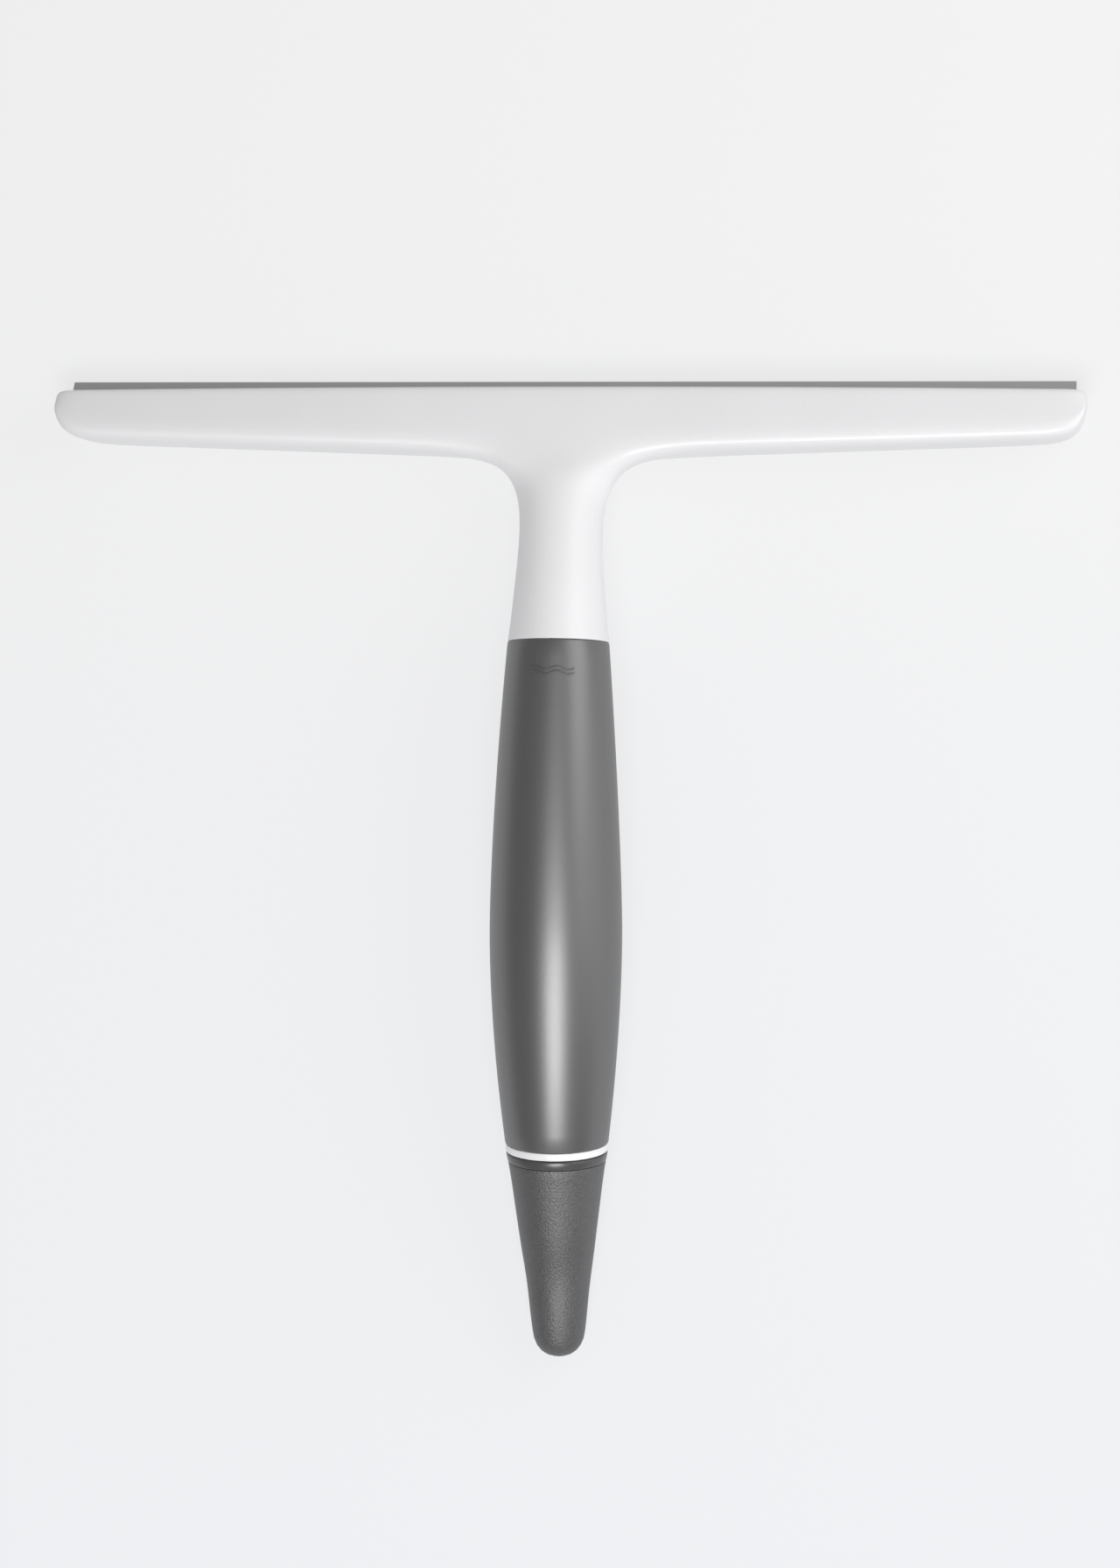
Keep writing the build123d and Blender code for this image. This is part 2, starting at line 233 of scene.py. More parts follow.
class Finish:
    def __init__(self, name, roughness, metallic=0.0, specular=0.5, ior=1.5):
        self.material = bpy.data.materials.new(name)
        self.material.use_nodes = True
        self.nodes = self.material.node_tree.nodes
        self.links = self.material.node_tree.links
        self.shader = self.nodes["Principled BSDF"]
        self.feed(self.shader, {"Roughness": roughness, "Metallic": metallic,
                                "Specular IOR Level": specular, "IOR": ior})
        self.place = self.add("ShaderNodeTexCoord", output="Object")

    def feed(self, node, inputs):
        for key, value in inputs.items():
            if isinstance(value, Wire):
                self.links.new(value.socket, node.inputs[key])
            else:
                node.inputs[key].default_value = value

    def add(self, kind, settings=None, inputs=None, output=0):
        node = self.nodes.new(kind)
        for key, value in (settings or {}).items():
            setattr(node, key, value)
        self.feed(node, inputs or {})
        return Wire(self, node.outputs[output])

    def noise(self, scale, detail=2.0, stretch=(1, 1, 1)):
        place = self.place
        if stretch != (1, 1, 1):
            place = self.add("ShaderNodeMapping", inputs={"Vector": place, "Scale": stretch})
        return self.add("ShaderNodeTexNoise", inputs={"Vector": place, "Scale": scale, "Detail": detail})

    def blend(self, share, first, second):
        mix = self.nodes.new("ShaderNodeMix")
        mix.data_type = "RGBA"
        self.feed(mix, {"Factor": share, 6: (*first, 1), 7: (*second, 1)})
        return Wire(self, mix.outputs[2])

    def colour(self, share, first, second):
        self.feed(self.shader, {"Base Color": self.blend(share, first, second)})

    def rough(self, wire):
        self.feed(self.shader, {"Roughness": wire})

    def bump(self, height, depth):
        bumped = self.add("ShaderNodeBump",
                          inputs={"Height": height, "Distance": depth * mm, "Strength": 1.0})
        self.feed(self.shader, {"Normal": bumped})


def grained(name, tones, roughness, grain, depth, cloud=45, swing=0.08, specular=0.5, ior=1.5,
            metallic=0.0, stretch=(1, 1, 1), contrast=1.0):
    # a moulded or drawn surface: two close tones, uneven gloss and a fine skin
    look = Finish(name, roughness, metallic, specular, ior)
    fine = look.noise(grain, 3.0, stretch)
    if contrast != 1.0:
        fine = look.add("ShaderNodeMath", {"operation": "MULTIPLY", "use_clamp": True},
                        {0: fine - (0.5 - 0.5 / contrast), 1: contrast})
    clouds = look.noise(cloud, 2.0)
    look.colour(fine * 0.5 + clouds * 0.5, *tones)
    look.rough(clouds * swing + fine * swing + (roughness - swing))
    look.bump(fine, depth)
    return look.material


finishes = {
    "whiteShell": grained("whiteShell", ((0.72, 0.72, 0.73), (0.78, 0.78, 0.79)), 0.36, 1500, 0.012),
    "whiteRing": grained("whiteRing", ((0.80, 0.80, 0.81), (0.86, 0.86, 0.87)), 0.30, 1500, 0.010),
    "gripRubber": grained("gripRubber", ((0.018, 0.018, 0.019), (0.030, 0.030, 0.031)), 0.41, 2600, 0.010,
                          swing=0.05, specular=0.75, ior=2.0),
    "tailRubber": grained("tailRubber", ((0.006, 0.006, 0.007), (0.062, 0.062, 0.064)), 0.50, 2000, 0.075,
                          swing=0.10, specular=0.75, ior=1.8, contrast=2.6),
    "collarPlastic": grained("collarPlastic", ((0.045, 0.045, 0.047), (0.06, 0.06, 0.062)),
                             0.32, 1800, 0.008, specular=0.6, ior=1.6),
    "bladeRubber": grained("bladeRubber", ((0.31, 0.31, 0.315), (0.40, 0.40, 0.405)), 0.48, 900, 0.012,
                           stretch=(0.02, 1, 1)),
    "railMetal": grained("railMetal", ((0.62, 0.62, 0.63), (0.78, 0.78, 0.79)), 0.34, 1400, 0.010,
                         metallic=1.0, stretch=(0.02, 1, 1)),
    "steel": grained("steel", ((0.50, 0.50, 0.50), (0.68, 0.67, 0.66)),
                     0.26, 1600, 0.006, metallic=1.0, stretch=(1, 0.05, 1)),
    "corePlastic": grained("corePlastic", ((0.020, 0.020, 0.021), (0.032, 0.032, 0.034)),
                           0.42, 1500, 0.010),
    "socketPlastic": grained("socketPlastic", ((0.16, 0.16, 0.165), (0.21, 0.21, 0.215)),
                             0.38, 1500, 0.010),
    "plugPlastic": grained("plugPlastic", ((0.024, 0.024, 0.026), (0.040, 0.040, 0.042)),
                           0.30, 1600, 0.010),
    "sealRubber": grained("sealRubber", ((0.015, 0.015, 0.016), (0.028, 0.028, 0.030)), 0.46, 1800, 0.012),
}


def dress(piece, finish):
    piece.data.materials.clear()
    piece.data.materials.append(finishes[finish])


print("finishes ready")

# head: a smoothed cage of both arms joined to the neck, then hollowed from the back
head = {
    "armHeight": 17.8, "endRise": 4.4, "crown": 0.8,
    "depthLow": 20.0, "depthTop": 15.0,
    "block": 16.8, "column": 9.7,          # where the arms leave the neck
    "backSupport": 1.8, "midDepth": 10.9, "midHeight": 9.0,
    "topBevel": 1.3, "flareDrop": 1.2,
    "stations": (30.0, 45.0, 75.0, 100.0, 113.0),
    # hollows, cut in from the back: their walls, depths and tops, and the room round the rail and the lip
    "wall": 2.4, "cheek": 2.2, "hollowDepth": 11.0, "hollowTop": 4.0, "hollowRound": 5.0, "through": 5.0,
    "throatTop": 4.8, "hoodDrop": 4.2, "railHalf": 3.52, "clipRoom": 0.3, "swing": 14.0, "swingBack": 3.0,
    # rounded ends: place along the arm, lower edge and upper edge above the arm's own lower edge, depth
    "ends": ((120.8, 4.25, 17.1, 1.0), (124.9, 5.2, 17.1, 0.99), (127.4, 7.0, 17.0, 0.96),
             (128.9, 9.6, 16.6, 0.91), (129.7, 12.6, 15.6, 0.82)),
    "backCrease": 0.75,
}
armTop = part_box("head_shell")[1].y / mm
armLow = armTop - head["armHeight"]
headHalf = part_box("head_shell")[1].x / mm


def buildArms():
    size = head
    piece = box("headSkin", (-size["block"] * mm, armLow * mm, 0),
                (size["block"] * mm, armTop * mm, size["depthLow"] * mm))
    edit(piece)
    for place, normal in (((0, 0, 0), (1, 0, 0)), ((size["column"], 0, 0), (1, 0, 0)),
                          ((-size["column"], 0, 0), (1, 0, 0)), ((0, 0, size["backSupport"]), (0, 0, 1)),
                          ((0, 0, size["midDepth"]), (0, 0, 1)),
                          ((0, armLow + size["midHeight"], 0), (0, 1, 0))):
        bpy.ops.mesh.select_all(action="SELECT")
        bpy.ops.mesh.bisect(plane_co=Vector(place) * mm, plane_no=normal)
    fall = (size["depthLow"] - size["depthTop"]) / size["armHeight"]
    for height in (size["midHeight"], size["armHeight"]):
        pick(piece, "VERT", lambda co: co.z > (size["depthLow"] - 0.1) * mm
             and abs(co.y - (armLow + height) * mm) < 0.1 * mm)
        bpy.ops.transform.translate(value=(0, 0, -height * fall * mm))
    pick(piece, "EDGE", lambda co: co.y > (armTop - 0.1) * mm and co.z > (size["depthTop"] - 0.1) * mm)
    bpy.ops.mesh.bevel(offset=size["topBevel"] * mm, segments=2, affect="EDGES")
    for side in (1, -1):
        pick(piece, "FACE", lambda co: side * co.x > (size["block"] - 0.1) * mm)
        lastX, lastLow, lastTop, lastDeep = size["block"], armLow, armTop, 1.0
        stations = []
        for x in size["stations"]:
            share = x / headHalf
            stations.append((x, armLow + size["endRise"] * share, armTop - size["crown"] * share ** 2, 1.0))
        stations += [(x, armLow + low, armLow + top, deep) for x, low, top, deep in size["ends"]]
        for x, low, top, deep in stations:
            centre = (low + top) / 2
            push((side * (x - lastX) * mm, (centre - (lastLow + lastTop) / 2) * mm, 0))
            scaleAbout((side * x * mm, centre * mm, 0),
                       (1, (top - low) / (lastTop - lastLow), deep / lastDeep))
            lastX, lastLow, lastTop, lastDeep = x, low, top, deep
    # opening for the neck
    pick(piece, "FACE", lambda co: abs(co.x) < size["block"] * mm and abs(co.y - armLow * mm) < 0.05 * mm
         and co.z > size["backSupport"] * mm)
    bpy.ops.mesh.delete(type="FACE")
    pick(piece, "VERT", lambda co: abs(abs(co.x) - size["block"] * mm) < 0.1 * mm
         and abs(co.y - armLow * mm) < 0.05 * mm and co.z > 1.5 * size["backSupport"] * mm)
    bpy.ops.transform.translate(value=(0, -size["flareDrop"] * mm, 0))
    pick(piece, "RIM", lambda co: co.z < 0.1 * mm)
    bpy.ops.transform.edge_crease(value=size["backCrease"])
    leave()
    return piece


neck = {
    "sides": 12,
    # place from the top of the grip and radius: the spigot, its shoulder and the skirt round it
    "foot": ((-29.38, 8.7), (-28.98, 8.7), (0.22, 8.7), (0.62, 8.7), (0.62, 9.2), (0.62, 11.68),
             (0.62, 12.16), (0.08, 12.16), (0.08, 12.46), (0.18, 12.58)),
    # place from the top of the grip, half width and half depth
    "stations": ((0.9, 12.52, 12.5), (3.6, 12.15, 12.1), (8.6, 11.65, 11.5), (14.6, 11.15, 10.7),
                 (21.0, 10.6, 9.9), (28.0, 10.3, 9.3), (34.5, 10.6, 9.0), (40.5, 12.4, 9.0)),
}
ringShrink = (2 + math.cos(2 * math.pi / neck["sides"])) / 3      # what smoothing takes off a ring


def buildNeck():
    base = spine["gripLength"]
    rings = [lined(base + s, radius / ringShrink) for s, radius in neck["foot"]]
    for s, wide, deep in neck["stations"]:
        rings.append((along(base + s), lean(base + s), wide / ringShrink * mm, deep / ringShrink * mm))
    piece = ringChain("neckSkin", rings, neck["sides"], close="none")
    start, slope = rings[0][:2]
    forward = Vector((0, math.cos(slope), math.sin(slope)))
    edit(piece)
    pick(piece, "VERT", lambda co: (co - start).dot(forward) < 0.1 * mm)
    bpy.ops.mesh.edge_face_add()
    leave()
    return piece


skin = buildArms()
neckSkin = buildNeck()
only(skin)
neckSkin.select_set(True)
bpy.ops.object.join()
edit(skin)
bpy.ops.mesh.select_mode(type="EDGE")
bpy.ops.mesh.select_all(action="DESELECT")
bpy.ops.mesh.select_non_manifold(extend=False)
bpy.ops.mesh.bridge_edge_loops()
bpy.ops.mesh.select_all(action="SELECT")
bpy.ops.mesh.normals_make_consistent(inside=False)
leave()
apply(skin, "SUBSURF", levels=3, render_levels=3)
print("head skin smoothed:", len(skin.data.polygons), "faces")

rail = middle("blade_rail") / mm
hinge = Vector(turn["lip_flex"]["pos_m"]) / mm
bladeLean = math.atan2(rail.z - hinge.z, hinge.y - rail.y)
throatHalf = headHalf - head["cheek"]
hollowHalf = headHalf - head["wall"]
cavity = box("cavity", (-hollowHalf * mm, (armLow + head["wall"]) * mm, -head["through"] * mm),
             (hollowHalf * mm, (armTop - head["hollowTop"]) * mm, head["hollowDepth"] * mm))
edit(cavity)
bpy.ops.mesh.select_all(action="SELECT")
bpy.ops.mesh.bisect(plane_co=(0, 0, 0), plane_no=(1, 0, 0))
pick(cavity, "VERT", lambda co: abs(co.x) > hollowHalf / 2 * mm and co.y < (armLow + 5) * mm)
bpy.ops.transform.translate(value=(0, head["endRise"] * mm, 0))
pick(cavity, "EDGE", lambda co: abs(co.x) > hollowHalf / 2 * mm and co.y < (armLow + 10) * mm)
bpy.ops.mesh.bevel(offset=head["hollowRound"] * mm, segments=4, affect="EDGES")
leave()
cut(skin, cavity)
hoodUnder = head["depthTop"] - head["hoodDrop"]
cut(skin, box("throat", (-throatHalf * mm, (armTop - head["throatTop"]) * mm, -head["through"] * mm),
              (throatHalf * mm, (armTop + head["through"]) * mm, hoodUnder * mm)))
half = head["railHalf"]
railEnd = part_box("blade_clip_right")[1].x / mm + head["clipRoom"]
for name, reach, low, high in (("railRoom", railEnd, (-half, -half), (half, half)),
                               ("swing", throatHalf, (half, -half - head["swingBack"]),
                                (half + head["swing"], half))):
    room = box(name, (-reach * mm, (rail.y + low[0]) * mm, (rail.z + low[1]) * mm),
               (reach * mm, (rail.y + high[0]) * mm, (rail.z + high[1]) * mm))
    edit(room)
    bpy.ops.mesh.select_all(action="SELECT")
    tip(rail * mm, -bladeLean)
    leave()
    cut(skin, room)
smooth(skin, 30)
dress(skin, "whiteShell")
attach(skin, "root")
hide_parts("head_shell")
print("head cut for the cover and the rubber")

# grip: a lathed sleeve along the bowed centre line, with a plain moulded mark
grip = {
    "belly": 16.5, "bellyAt": 53.0, "endRadius": 12.9, "topRadius": 12.65, "wall": 1.8,
    "powerLow": 1.8, "powerTop": 1.5, "rim": 0.3, "sides": 72, "steps": 30,
    "markAt": 117.4, "markWide": 5.6, "markWave": 0.9, "markGap": 1.1, "markLine": 0.22, "markPoints": 13,
    "markLift": 0.04,
}


def gripRadius(s):
    if s < grip["bellyAt"]:
        fall = (1 - s / grip["bellyAt"]) ** grip["powerLow"]
        return grip["belly"] - (grip["belly"] - grip["endRadius"]) * fall
    fall = ((s - grip["bellyAt"]) / (spine["gripLength"] - grip["bellyAt"])) ** grip["powerTop"]
    return grip["belly"] - (grip["belly"] - grip["topRadius"]) * fall


def buildGrip():
    length, rim, wall = spine["gripLength"], grip["rim"], grip["wall"]
    rings = [lined(0, grip["endRadius"] - wall)]
    quarter = [math.radians(90 * step / 4) for step in range(5)]
    for angle in quarter[:-1]:
        rings.append(lined(rim * (1 - math.cos(angle)), gripRadius(0) - rim * (1 - math.sin(angle))))
    for step in range(grip["steps"] + 1):
        s = rim + (length - 2 * rim) * step / grip["steps"]
        rings.append(lined(s, gripRadius(s)))
    for angle in quarter[1:]:
        rings.append(lined(length - rim * (1 - math.sin(angle)),
                           gripRadius(length) - rim * (1 - math.cos(angle))))
    for step in range(10, -1, -1):
        s = length * step / 10
        rings.append(lined(s, gripRadius(s) - wall))
    return ringChain("gripSkin", rings, grip["sides"], close="loop")


gripSkin = buildGrip()


def waveLine(shift):
    # one line of the moulded wave mark, laid on the grip's front
    dropSelection()
    bpy.ops.curve.primitive_nurbs_path_add()
    line = bpy.context.object
    path = line.data.splines[0]
    count = grip["markPoints"]
    path.points.add(count - len(path.points))
    for index, point in enumerate(path.points):
        share = index / (count - 1)
        x = grip["markWide"] * (2 * share - 1)
        s = grip["markAt"] + shift + grip["markWave"] * math.sin(share * 4 * math.pi) / 2
        radius = gripRadius(s)
        centre = along(s)
        lift = (math.sqrt(radius ** 2 - x ** 2) + grip["markLift"]) * mm
        point.co = (x * mm, centre.y - lift * math.sin(lean(s)), centre.z + lift * math.cos(lean(s)), 1)
    path.order_u = 3
    path.use_endpoint_u = True
    line.data.bevel_depth = grip["markLine"] * mm
    line.data.bevel_resolution = 2
    line.data.use_fill_caps = True
    bpy.ops.object.convert(target="MESH")
    line = bpy.context.object
    settle(line, "mark")
    edit(line)
    bpy.ops.mesh.select_all(action="SELECT")
    bpy.ops.mesh.remove_doubles(threshold=1e-6)
    bpy.ops.mesh.normals_make_consistent(inside=False)
    leave()
    return line


marks = [waveLine(shift) for shift in (-grip["markGap"] / 2, grip["markGap"] / 2)]
only(gripSkin)
for mark in marks:
    mark.select_set(True)
bpy.ops.object.join()
smooth(gripSkin, 40)
dress(gripSkin, "gripRubber")
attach(gripSkin, "root")
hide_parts("grip_sleeve")
print("grip made")

# ring, collar and tail, all measured from the ring's seat towards the tip
tail = {
    "ringRadius": 12.8, "ringLength": 1.9, "ringLip": 0.5, "bore": 9.75, "socket": 11.0,
    "parting": 0.3, "collarLength": 2.3, "collarRadius": 12.7, "topRadius": 12.35, "flange": 10.9,
    "sides": 64, "coreLength": 34.0,
    "hair": 0.02,                          # gap at faces that would otherwise touch, and a closed middle
    "hollow": ((38.52, 5.97), (38.52, 6.169), (4.52, 9.95)),
    # distance from the ring seat, half width, half depth and how far the middle sits back
    "body": ((4.52, 11.95, 11.95, 0), (4.6, 12.15, 12.15, 0), (4.9, 12.22, 12.22, 0), (7, 11.85, 11.85, 0),
             (10.5, 11.35, 11.35, 0), (14, 10.9, 10.9, 0), (17.5, 10.45, 10.4, 0), (21, 10.0, 9.9, 0),
             (24.5, 9.55, 9.42, 0.12), (28, 9.1, 8.8, 0.3), (31.5, 8.6, 8.1, 0.5), (35, 8.12, 7.53, 0.58),
             (38.5, 7.7, 7.25, 0.45), (42, 7.35, 7.05, 0.3), (45.5, 7.0, 6.75, 0.25),
             (48.5, 6.65, 6.37, 0.25), (50.5, 6.3, 5.95, 0.2), (52.2, 5.6, 5.35, 0.1), (53.5, 4.6, 4.4, 0.04),
             (54.4, 3.35, 3.2, 0), (54.95, 1.9, 1.8, 0), (55.15, 0.7, 0.7, 0)),
}


def buildRing():
    # a rounded corner has a middle point, 0.3 of its width in from both faces
    length, r, bore, hair = tail["ringLength"], tail["ringRadius"], tail["bore"], tail["hair"]
    mouth, seatRadius, soft = length - tail["ringLip"], tail["socket"] + hair, 0.25
    path = ((hair, seatRadius), (hair, r - soft), (hair + soft * 0.3, r - soft * 0.3), (hair + soft, r),
            (length - soft, r), (length - soft * 0.3, r - soft * 0.3), (length, r - soft),
            (length, bore + soft), (length - soft, bore), (mouth, bore), (mouth, seatRadius),
            (hair, seatRadius))
    return ringChain("ringSkin", [lined(-d, radius) for d, radius in path], tail["sides"], close="loop")


def buildCollar():
    start = tail["ringLength"] + tail["parting"]
    end = start + tail["collarLength"] - tail["hair"]
    r, inner, soft = tail["collarRadius"], tail["flange"] + tail["hair"], 0.3
    low = r - 2 * (r - tail["topRadius"]) / tail["collarLength"]
    path = ((start, inner), (start, r - soft), (start + soft * 0.3, r - soft * 0.3), (start + soft, r),
            (end - soft, low), (end - soft * 0.3, low - soft * 0.4), (end, low - soft * 1.2),
            (end, inner), (start, inner))
    return ringChain("collarSkin", [lined(-d, radius) for d, radius in path], tail["sides"], close="loop")


def buildTail():
    back = Vector((0, -out.z, out.y))
    rings = [lined(-d, radius) for d, radius in tail["hollow"]]
    for d, wide, deep, sit in tail["body"]:
        rings.append((along(-d) + back * sit * mm, leanLow, wide * mm, deep * mm))
    return ringChain("tailSkin", rings, tail["sides"], close="ends")


for piece, finish, slot, body, node in (
        (buildRing(), "whiteRing", "white_ring", "root", "accent_ring"),
        (buildCollar(), "collarPlastic", "collar_plastic", "tail", "tail_collar"),
        (buildTail(), "tailRubber", "tail_rubber", "tail", "tail_grip")):
    smooth(piece, 35)
    dress(piece, finish)
    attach(piece, body)
    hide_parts(node)
print("ring, collar and tail made")

# rubber blade: bead, thin web and lip in one section, run along the head
blade = {
    "length": 254.0, "bead": 2.2, "sides": 16, "endSoft": 0.15,
    "rootEnd": 3.6, "bendStart": 3.7, "bendEnd": 5.6,
    # distance from the bead's centre and thickness there: web, root of the lip, lip and its edge
    "section": ((2.5, 1.2), (3.35, 1.2), (3.65, 1.55), (4.1, 1.9), (4.5, 2.0), (5.0, 1.97), (5.6, 1.93),
                (7.0, 1.84), (11.05, 1.52), (11.3, 1.3)),
}


def buildBlade():
    dropSelection()
    startX = -blade["length"] / 2 * mm
    bpy.ops.mesh.primitive_circle_add(vertices=blade["sides"], radius=blade["bead"] * mm, fill_type="NGON",
                                      location=(startX, rail.y * mm, rail.z * mm),
                                      rotation=(0, math.pi / 2, 0))
    piece = bpy.context.object
    settle(piece, "bladeSkin")
    edit(piece)
    bpy.ops.mesh.select_all(action="SELECT")
    beadCentre = Vector((startX, rail.y * mm, rail.z * mm))
    # straight while it is shaped, tilted once the section is whole
    reach = math.radians(360 / blade["sides"]) * 1.2
    pick(piece, "EDGE", lambda co: abs(math.atan2(co.z - beadCentre.z, co.y - beadCentre.y)) < reach)
    wide = 2 * blade["bead"] * math.sin(math.radians(360 / blade["sides"]))
    place = blade["bead"] * math.cos(math.radians(360 / blade["sides"]))
    flat = 0.001                           # brings the first row, cut from the round bead, into one plane
    for at, across in blade["section"]:
        push((0, (at - place) * mm, 0))
        scaleAbout((startX, rail.y * mm + at * mm, rail.z * mm), (1, flat, across / wide))
        place, wide, flat = at, across, 1
    bpy.ops.mesh.select_all(action="SELECT")
    tip(beadCentre, -bladeLean)
    for step in (blade["endSoft"], blade["length"] - 2 * blade["endSoft"], blade["endSoft"]):
        bpy.ops.mesh.select_all(action="DESELECT")
        far = max(v.co.x for v in bmesh.from_edit_mesh(piece.data).verts)
        pick(piece, "FACE", lambda co: co.x > far - 0.001 * mm)
        push((step * mm, 0, 0))
    bpy.ops.mesh.select_all(action="SELECT")
    bpy.ops.mesh.normals_make_consistent(inside=False)
    leave()
    return piece


bladeSkin = buildBlade()
# the rubber's root stops inside the head, only the lip runs on to the full length
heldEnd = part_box("blade_bead")[1].x / mm
past = blade["length"] / 2 + 3
for side in (1, -1):
    end = box("end", (min(side * heldEnd, side * past) * mm, (rail.y - 5) * mm, (rail.z - 5) * mm),
              (max(side * heldEnd, side * past) * mm, (rail.y + blade["rootEnd"]) * mm, (rail.z + 5) * mm))
    edit(end)
    bpy.ops.mesh.select_all(action="SELECT")
    tip(rail * mm, -bladeLean)
    leave()
    cut(bladeSkin, end)
smooth(bladeSkin, 30)
dress(bladeSkin, "bladeRubber")
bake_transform(bladeSkin)
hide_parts("blade_bead", "blade_lip")
print("rubber blade made")

# plug with its thread, which comes into view as the tail unscrews
plug = {
    "core": 8.35, "crest": 9.4, "flange": 10.9, "length": 24.0, "hollow": 5.5, "sealAt": 2.6, "groove": 0.9,
    "grooveDeep": 1.65, "pitch": 5.08, "turns": 3.4, "start": 4.6, "leadIn": 0.6, "steps": 48,
    "ridge": 1.35, "ridgeSink": 1.3,       # the ridge is round, its middle this far inside the crest
}


def buildPlug():
    start = tail["ringLength"] + tail["parting"]
    flangeEnd = start + tail["collarLength"]
    tipEnd = flangeEnd + tail["coreLength"]
    crest, core, flange = plug["crest"], plug["core"], plug["flange"]
    threadAt, endAt = -plug["start"], -plug["length"]
    grooveFloor = crest - plug["grooveDeep"]
    grooveNear, grooveFar = -plug["sealAt"] + plug["groove"], -plug["sealAt"] - plug["groove"]
    path = [(tipEnd, 5.6), (tipEnd - 0.4, 6.0), (flangeEnd, flange - 1.0), (flangeEnd, flange),
            (start + 0.2, flange), (start, flange - 0.2), (start, crest),
            (grooveNear, crest), (grooveNear, grooveFloor), (grooveFar, grooveFloor), (grooveFar, crest),
            (threadAt + 0.3, crest), (threadAt - 0.3, core),
            (endAt + 1.0, core), (endAt + 0.3, core - 0.6), (endAt, core - 1.2),
            (endAt, plug["hollow"]), (flangeEnd, plug["hollow"]), (flangeEnd, tail["hair"])]
    return ringChain("plugSkin", [lined(-d, radius) for d, radius in path], tail["sides"], close="ends")


def buildThread():
    # one rounded ridge wound round the plug; its ends sink into it
    dropSelection()
    bpy.ops.mesh.primitive_circle_add(vertices=8, radius=plug["ridge"] * mm, location=(0, 0, 0),
                                      fill_type="NOTHING", rotation=(math.pi / 2, 0, 0))
    piece = bpy.context.object
    settle(piece, "thread")
    edit(piece)
    bpy.ops.mesh.select_all(action="SELECT")
    bpy.ops.transform.translate(value=((plug["crest"] - plug["ridgeSink"]) * mm, 0, 0))
    leave()
    steps = int(plug["steps"] * plug["turns"])
    apply(piece, "SCREW", angle=2 * math.pi * plug["turns"], screw_offset=plug["pitch"] * plug["turns"] * mm,
          steps=steps, render_steps=steps, axis="Z", use_merge_vertices=False, use_smooth_shade=False)
    edit(piece)
    bpy.ops.mesh.select_mode(type="EDGE")
    bpy.ops.mesh.select_all(action="DESELECT")
    bpy.ops.mesh.select_non_manifold(extend=False)
    bpy.ops.mesh.fill_holes(sides=8)
    bpy.ops.mesh.select_all(action="SELECT")
    bpy.ops.mesh.normals_make_consistent(inside=False)
    # lay it along the plug's axis
    tip((0, 0, 0), leanLow - math.pi / 2)
    bpy.ops.transform.translate(value=along(plug["start"] - plug["leadIn"]))
    leave()
    return piece


plugSkin = buildPlug()
thread = buildThread()
only(plugSkin)
thread.select_set(True)
bpy.ops.object.join()
smooth(plugSkin, 35)
dress(plugSkin, "plugPlastic")
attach(plugSkin, "tail")
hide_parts("tail_plug")
print("plug and thread made")

# pieces kept from the frame; a width softens the edges of those that show
kept = {
    "back_cover": ("whiteShell", 0.25), "blade_rail": ("railMetal", 0.15),
    "blade_clip_left": ("steel", 0.2), "blade_clip_right": ("steel", 0.2),
    "cover_screws": ("steel", 0.08), "pole_socket": ("socketPlastic", 0.2),
    "handle_core": ("corePlastic", 0), "neck_pin": ("steel", 0), "socket_pins": ("steel", 0),
    "neck_gasket": ("sealRubber", 0), "seal_ring": ("sealRubber", 0),
}
bodies = frame["record"]["behaviour"]["bodies"]
bodyOf = {node: body for body, nodes in bodies.items() for node in nodes}
for node, (finish, soft) in kept.items():
    cad = frame["nodes"][node]
    if not soft:
        dress(cad, finish)
        continue
    piece = cad.copy()
    piece.data = cad.data.copy()
    piece.name = node.replace("_", "") + "Soft"
    for key in list(piece.keys()):
        if key.startswith("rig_"):
            del piece[key]
    piece.parent = None
    bpy.context.scene.collection.objects.link(piece)
    edit(piece)
    bpy.ops.mesh.select_all(action="SELECT")
    bpy.ops.mesh.remove_doubles(threshold=1e-6)
    bpy.ops.mesh.tris_convert_to_quads()
    leave()
    apply(piece, "BEVEL", width=soft * mm, segments=2, limit_method="ANGLE", angle_limit=math.radians(40))
    smooth(piece, 35)
    dress(piece, finish)
    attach(piece, bodyOf[node])
    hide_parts(node)
print("other pieces dressed")

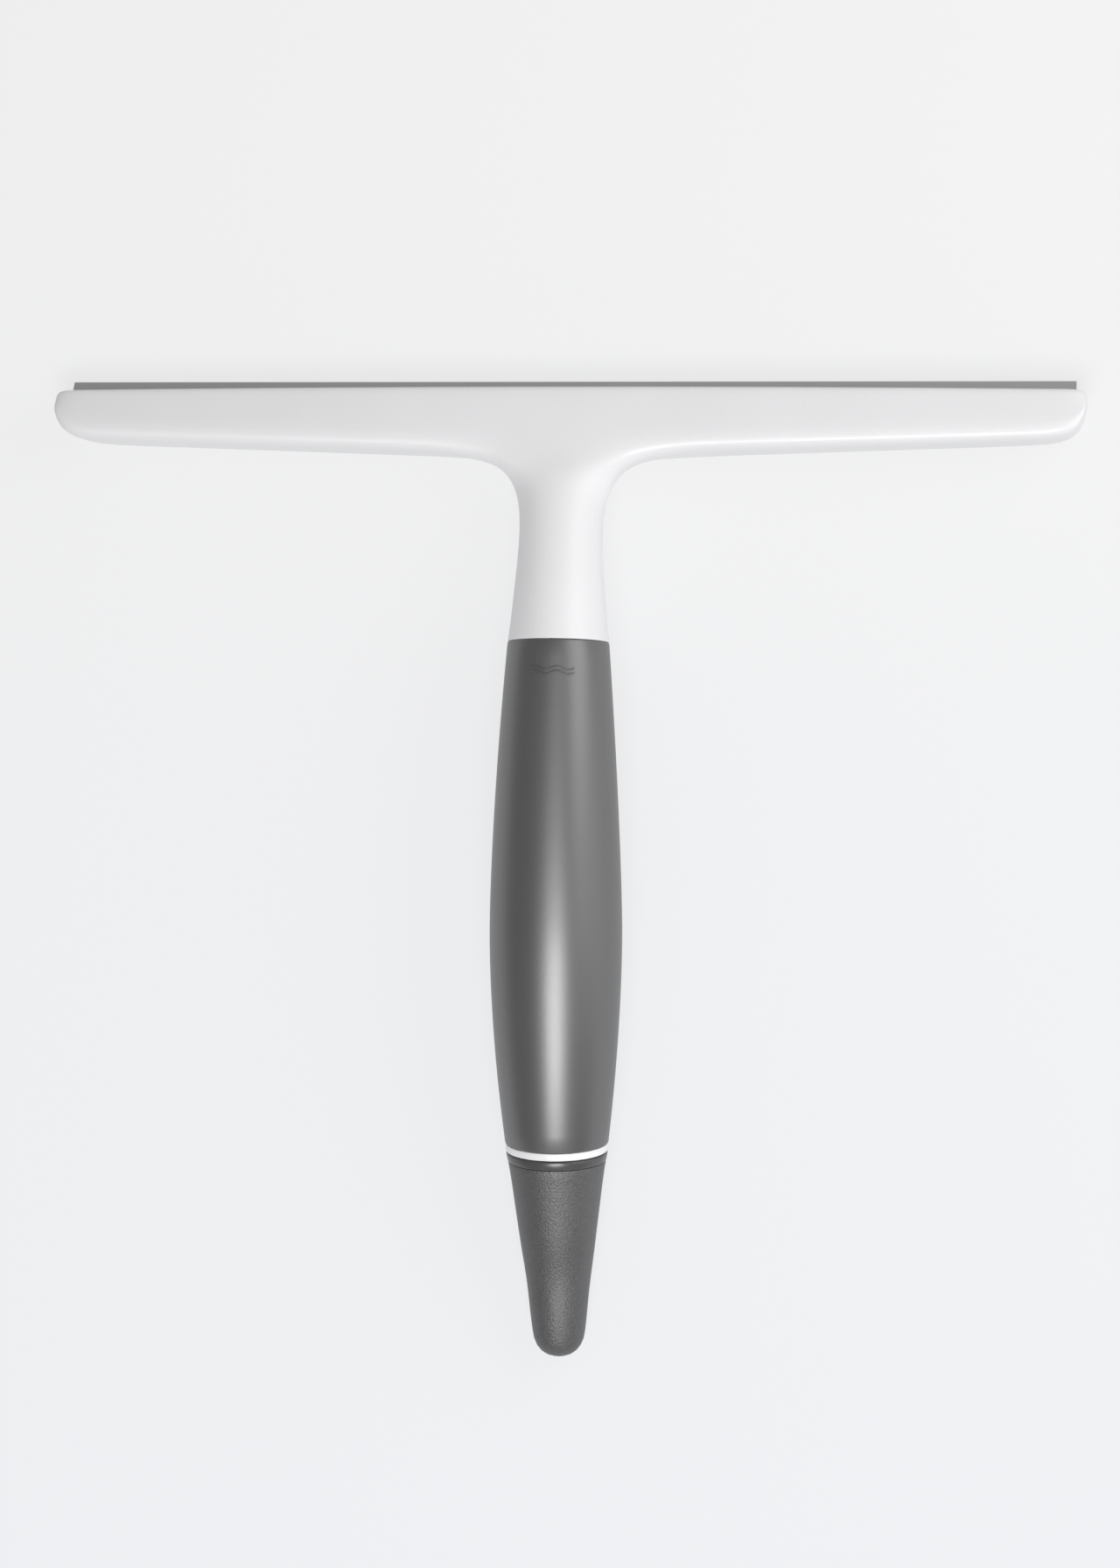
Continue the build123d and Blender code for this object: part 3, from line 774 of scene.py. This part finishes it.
# floor, light and camera
stage = {
    "floorTone": ((0.14, 0.14, 0.14), (0.137, 0.1385, 0.1425)), "floorGlow": 5.2, "world": 0.35,
    "lamps": (("key", 9.3, (0.58, 0.44), (5, -21.5, 1.3)), ("fill", 0.6, (0.45, 0.45), (4, 14, 1.3)),
              ("side", 1.0, (0.4, 0.4), (50, 40, 0.6)), ("low", 0.5, (1.0, 0.3), (8, -64, 0.9)),
              ("rim", 1.0, (0.5, 0.8), (64, -5, 0.8))),
    "lens": 100, "distance": 1.0892, "tilt": (-0.66, 7.23, 0.51), "aim": (-0.2, 21.5, 12.0),
}
dropSelection()
bpy.ops.mesh.primitive_plane_add(size=8, location=(0, 0, 0))
floor = bpy.context.object
floor.name = "floor"
paper = Finish("paper", 0.9, specular=0.1)
split = paper.add("ShaderNodeSeparateXYZ", inputs={0: paper.place}, output=1)
shade = paper.add("ShaderNodeMapRange", inputs={0: split, 1: 0.2, 2: -0.2})
tone = paper.blend(shade, *stage["floorTone"])
paper.feed(paper.shader, {"Base Color": tone, "Emission Color": tone,
                          "Emission Strength": stage["floorGlow"]})
floor.data.materials.append(paper.material)

world = bpy.data.worlds.new("studio")
bpy.context.scene.world = world
world.use_nodes = True
sky = world.node_tree.nodes["Background"]
sky.inputs["Color"].default_value = (1, 1, 1, 1)
sky.inputs["Strength"].default_value = stage["world"]


def softbox(name, power, size, at):
    # at: degrees towards +X, degrees towards +Y, distance
    across, up, distance = at
    direction = Vector((math.tan(math.radians(across)), math.tan(math.radians(up)), 1)).normalized()
    dropSelection()
    bpy.ops.object.light_add(type="AREA", location=direction * distance)
    lamp = bpy.context.object
    lamp.name = name
    lamp.rotation_euler = direction.to_track_quat("Z", "Y").to_euler()
    lamp.data.shape = "RECTANGLE"
    lamp.data.size, lamp.data.size_y = size
    lamp.data.energy = power


for lamp in stage["lamps"]:
    softbox(*lamp)
tilt = Euler([math.radians(angle) for angle in stage["tilt"]])
aim = Vector(stage["aim"]) * mm
bpy.ops.object.camera_add(location=aim + tilt.to_matrix() @ Vector((0, 0, stage["distance"])), rotation=tilt)
camera = bpy.context.object
camera.data.lens = stage["lens"]
camera.data.sensor_width = 36
bpy.context.scene.camera = camera
bpy.context.scene.view_settings.view_transform = "Standard"
print("floor, light and camera set")
